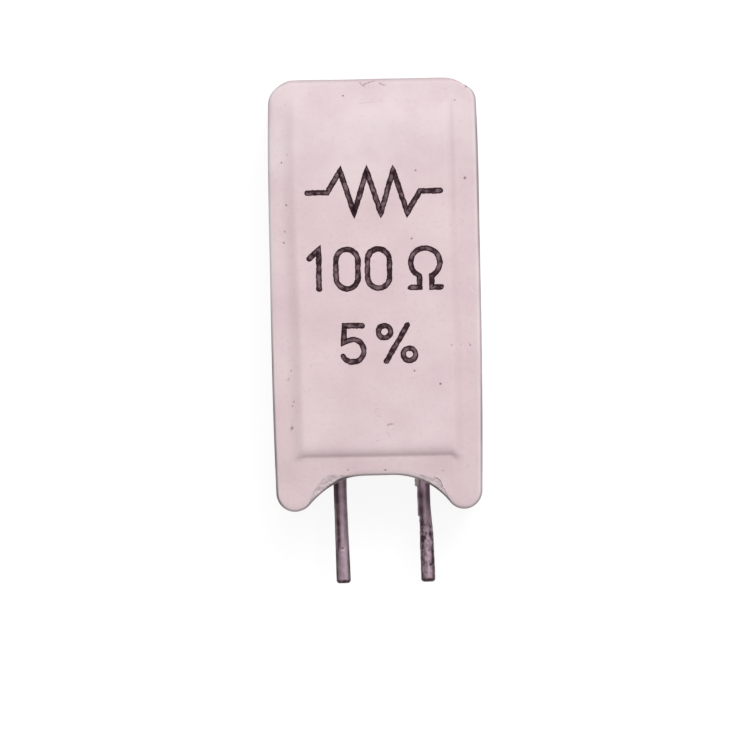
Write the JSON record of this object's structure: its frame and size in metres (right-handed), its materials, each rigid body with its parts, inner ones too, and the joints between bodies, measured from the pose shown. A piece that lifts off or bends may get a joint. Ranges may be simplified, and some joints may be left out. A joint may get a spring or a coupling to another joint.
{
  "type": "cement power resistor",
  "caption": "Upright wire-wound power resistor in a flat pressed ceramic case with a raised face panel, feet with an arch between them, a cement-filled back and parallel wire leads.",
  "frame": {"origin": "middle of the whole part's box, on the surface that the back rim lies on", "axes": "+X to the right as the panel is read, +Y towards the top edge with the leads towards -Y, +Z out of the raised panel"},
  "size_m": [0.0124, 0.0297, 0.008],
  "materials": {
    "case_ceramic": "unglazed, pale pink-white, slightly speckled",
    "cement": "rough cast",
    "core_ceramic": "matte",
    "resistance_wire": "drawn copper-nickel wire",
    "cap_steel": "pressed",
    "tinned_wire": "dull tinned"
  },
  "bodies": {
    "root": {"ceramic_case": "case_ceramic", "cement_fill": "cement", "core_rod": "core_ceramic", "resistance_winding": "resistance_wire", "upper_cap": "cap_steel", "lower_cap": "cap_steel", "straight_lead": "tinned_wire", "return_lead": "tinned_wire"}
  },
  "joints": []
}
